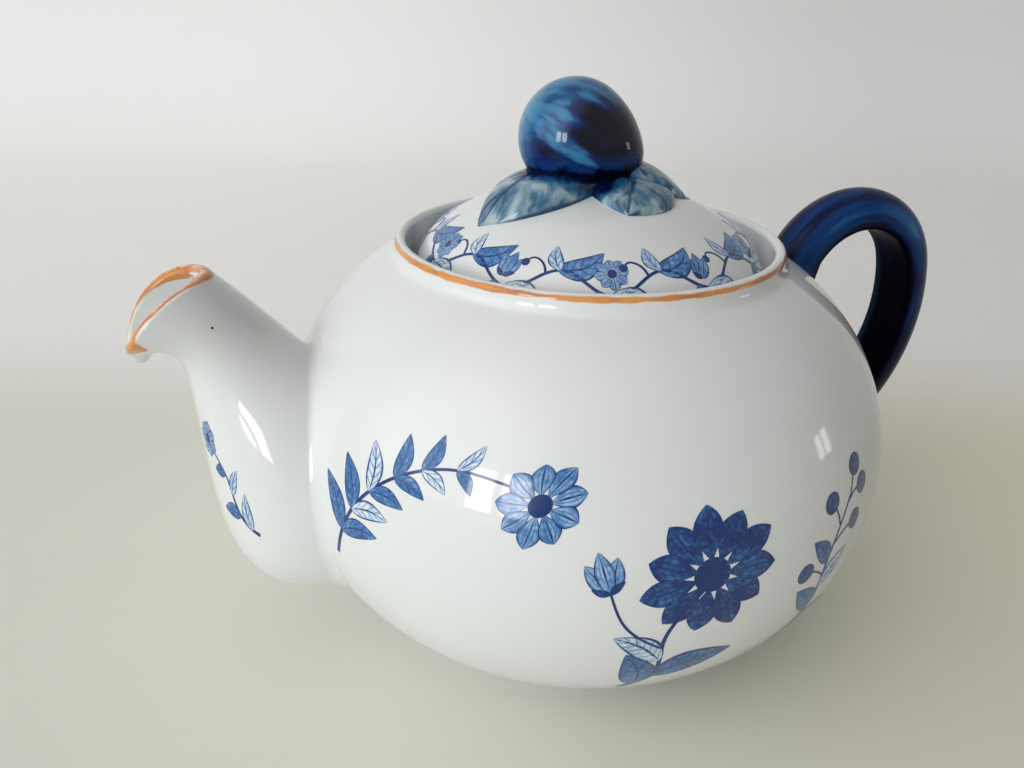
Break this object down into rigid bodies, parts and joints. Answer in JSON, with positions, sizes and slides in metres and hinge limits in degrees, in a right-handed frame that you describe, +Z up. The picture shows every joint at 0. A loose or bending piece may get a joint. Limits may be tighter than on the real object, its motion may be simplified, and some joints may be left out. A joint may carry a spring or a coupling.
{
  "type": "teapot",
  "caption": "Round-bellied glazed earthenware teapot with a curved spout, a looped side handle and a sunken lift-off lid that carries a plum-shaped knob on moulded leaves.",
  "frame": {"origin": "middle of the foot ring, in the plane that stands on the table", "axes": "+Z up along the axis the pot was turned on, -X towards the spout's mouth, +X towards the handle, so -Y is the side the picture shows"},
  "size_m": [0.2186, 0.154, 0.1409],
  "materials": {
    "pot_body": "clear gloss glaze over a white body, blue printed sprigs, orange painted lip",
    "spout": "clear gloss glaze over a white body, blue printed sprig, orange painted lip",
    "handle": "gloss glaze over brushed dark cobalt",
    "lid": "clear gloss glaze over a white body, blue printed border",
    "fruit_knob": "gloss glaze over brushed cobalt, lighter on one side",
    "leaf_left": "gloss glaze over a pale blue wash with dark veins",
    "leaf_front": "gloss glaze over a pale blue wash with dark veins",
    "leaf_right": "gloss glaze over a pale blue wash with dark veins"
  },
  "bodies": {
    "pot": {"pot_body": "pot_body", "spout": "spout", "handle": "handle"},
    "lid": {"lid": "lid", "fruit_knob": "fruit_knob", "leaf_left": "leaf_left", "leaf_front": "leaf_front", "leaf_right": "leaf_right"}
  },
  "joints": [
    {"name": "lid_lift", "type": "slide", "parent": "pot", "child": "lid", "axis": [0, 0, 1], "range_m": [0, 0.08]}
  ]
}
